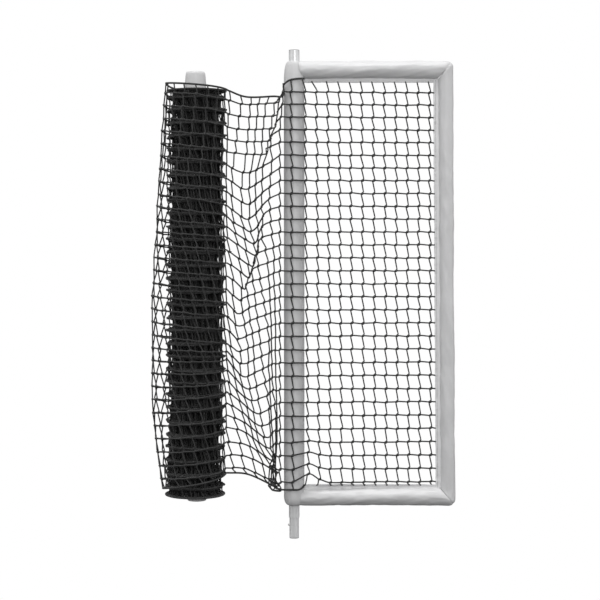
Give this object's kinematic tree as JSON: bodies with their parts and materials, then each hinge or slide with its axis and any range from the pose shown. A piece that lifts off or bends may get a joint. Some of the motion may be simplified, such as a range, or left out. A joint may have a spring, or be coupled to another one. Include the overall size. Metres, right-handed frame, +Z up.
{
  "type": "padded net barrier panel",
  "caption": "Padded tube frame holding a knotted net on a plug-in post, with the net carried on past the post as a loose stretch wound on a padded pole.",
  "frame": {"origin": "middle of the flat lower end of the spigot, on the post's axis", "axes": "+Z up along the post, +X from the post towards the framed wing, -Y the front, where the net lies over the post"},
  "size_m": [1.2218, 0.2629, 1.952],
  "materials": {
    "galvanised_tube": "satin",
    "spring_steel": "satin",
    "plug_plastic": "matte",
    "cast_elbow": "matte",
    "closed_cell_foam": "matte",
    "pad_cover": "satin",
    "net_twine": "matte",
    "border_rope": "matte"
  },
  "bodies": {
    "frame": {"post_tube": "galvanised_tube", "spigot_tube": "galvanised_tube", "spigot_rivet_1": "galvanised_tube", "spigot_rivet_2": "galvanised_tube", "post_top_plug": "plug_plastic", "spigot_end_plug": "plug_plastic", "snap_spring": "spring_steel", "top_rail_tube": "galvanised_tube", "bottom_rail_tube": "galvanised_tube", "stile_tube": "galvanised_tube", "corner_elbow_top": "cast_elbow", "corner_elbow_bottom": "cast_elbow", "top_rail_pin": "spring_steel", "top_stile_pin": "spring_steel", "bottom_rail_pin": "spring_steel", "bottom_stile_pin": "spring_steel", "post_foam": "closed_cell_foam", "top_rail_foam": "closed_cell_foam", "bottom_rail_foam": "closed_cell_foam", "stile_foam": "closed_cell_foam", "post_cover": "pad_cover", "top_rail_cover": "pad_cover", "bottom_rail_cover": "pad_cover", "stile_cover": "pad_cover", "top_rail_hem": "pad_cover", "bottom_rail_hem": "pad_cover", "stile_hem": "pad_cover", "panel_net": "net_twine", "post_net": "net_twine", "post_net_rope_top": "border_rope", "post_net_rope_bottom": "border_rope"},
    "button": {"snap_button": "spring_steel"},
    "loose_net": {"loose_net": "net_twine", "outer_net_turn": "net_twine", "loose_net_rope_top": "border_rope", "loose_net_rope_bottom": "border_rope"},
    "net_roll": {"net_roll": "net_twine", "pole_tube": "galvanised_tube", "pole_foam": "closed_cell_foam", "pole_cover": "pad_cover", "pole_top_disc": "pad_cover", "pole_bottom_disc": "pad_cover"}
  },
  "joints": [
    {"name": "button_press", "type": "slide", "parent": "frame", "child": "button", "axis": [1, 0, 0], "range_m": [0, 0.0055], "stiffness_N_per_m": 1200, "springref_m": -0.003, "deforming": ["snap_spring"]},
    {"name": "net_swing", "type": "hinge", "parent": "frame", "child": "loose_net", "pos_m": [0, 0, 1], "axis": [0, 0, 1], "range_deg": [-75, 90]},
    {"name": "roll_turn", "type": "hinge", "parent": "loose_net", "child": "net_roll", "pos_m": [-0.396, 0.06, 1], "axis": [0, 0, 1], "range_deg": [-35, 35]}
  ]
}
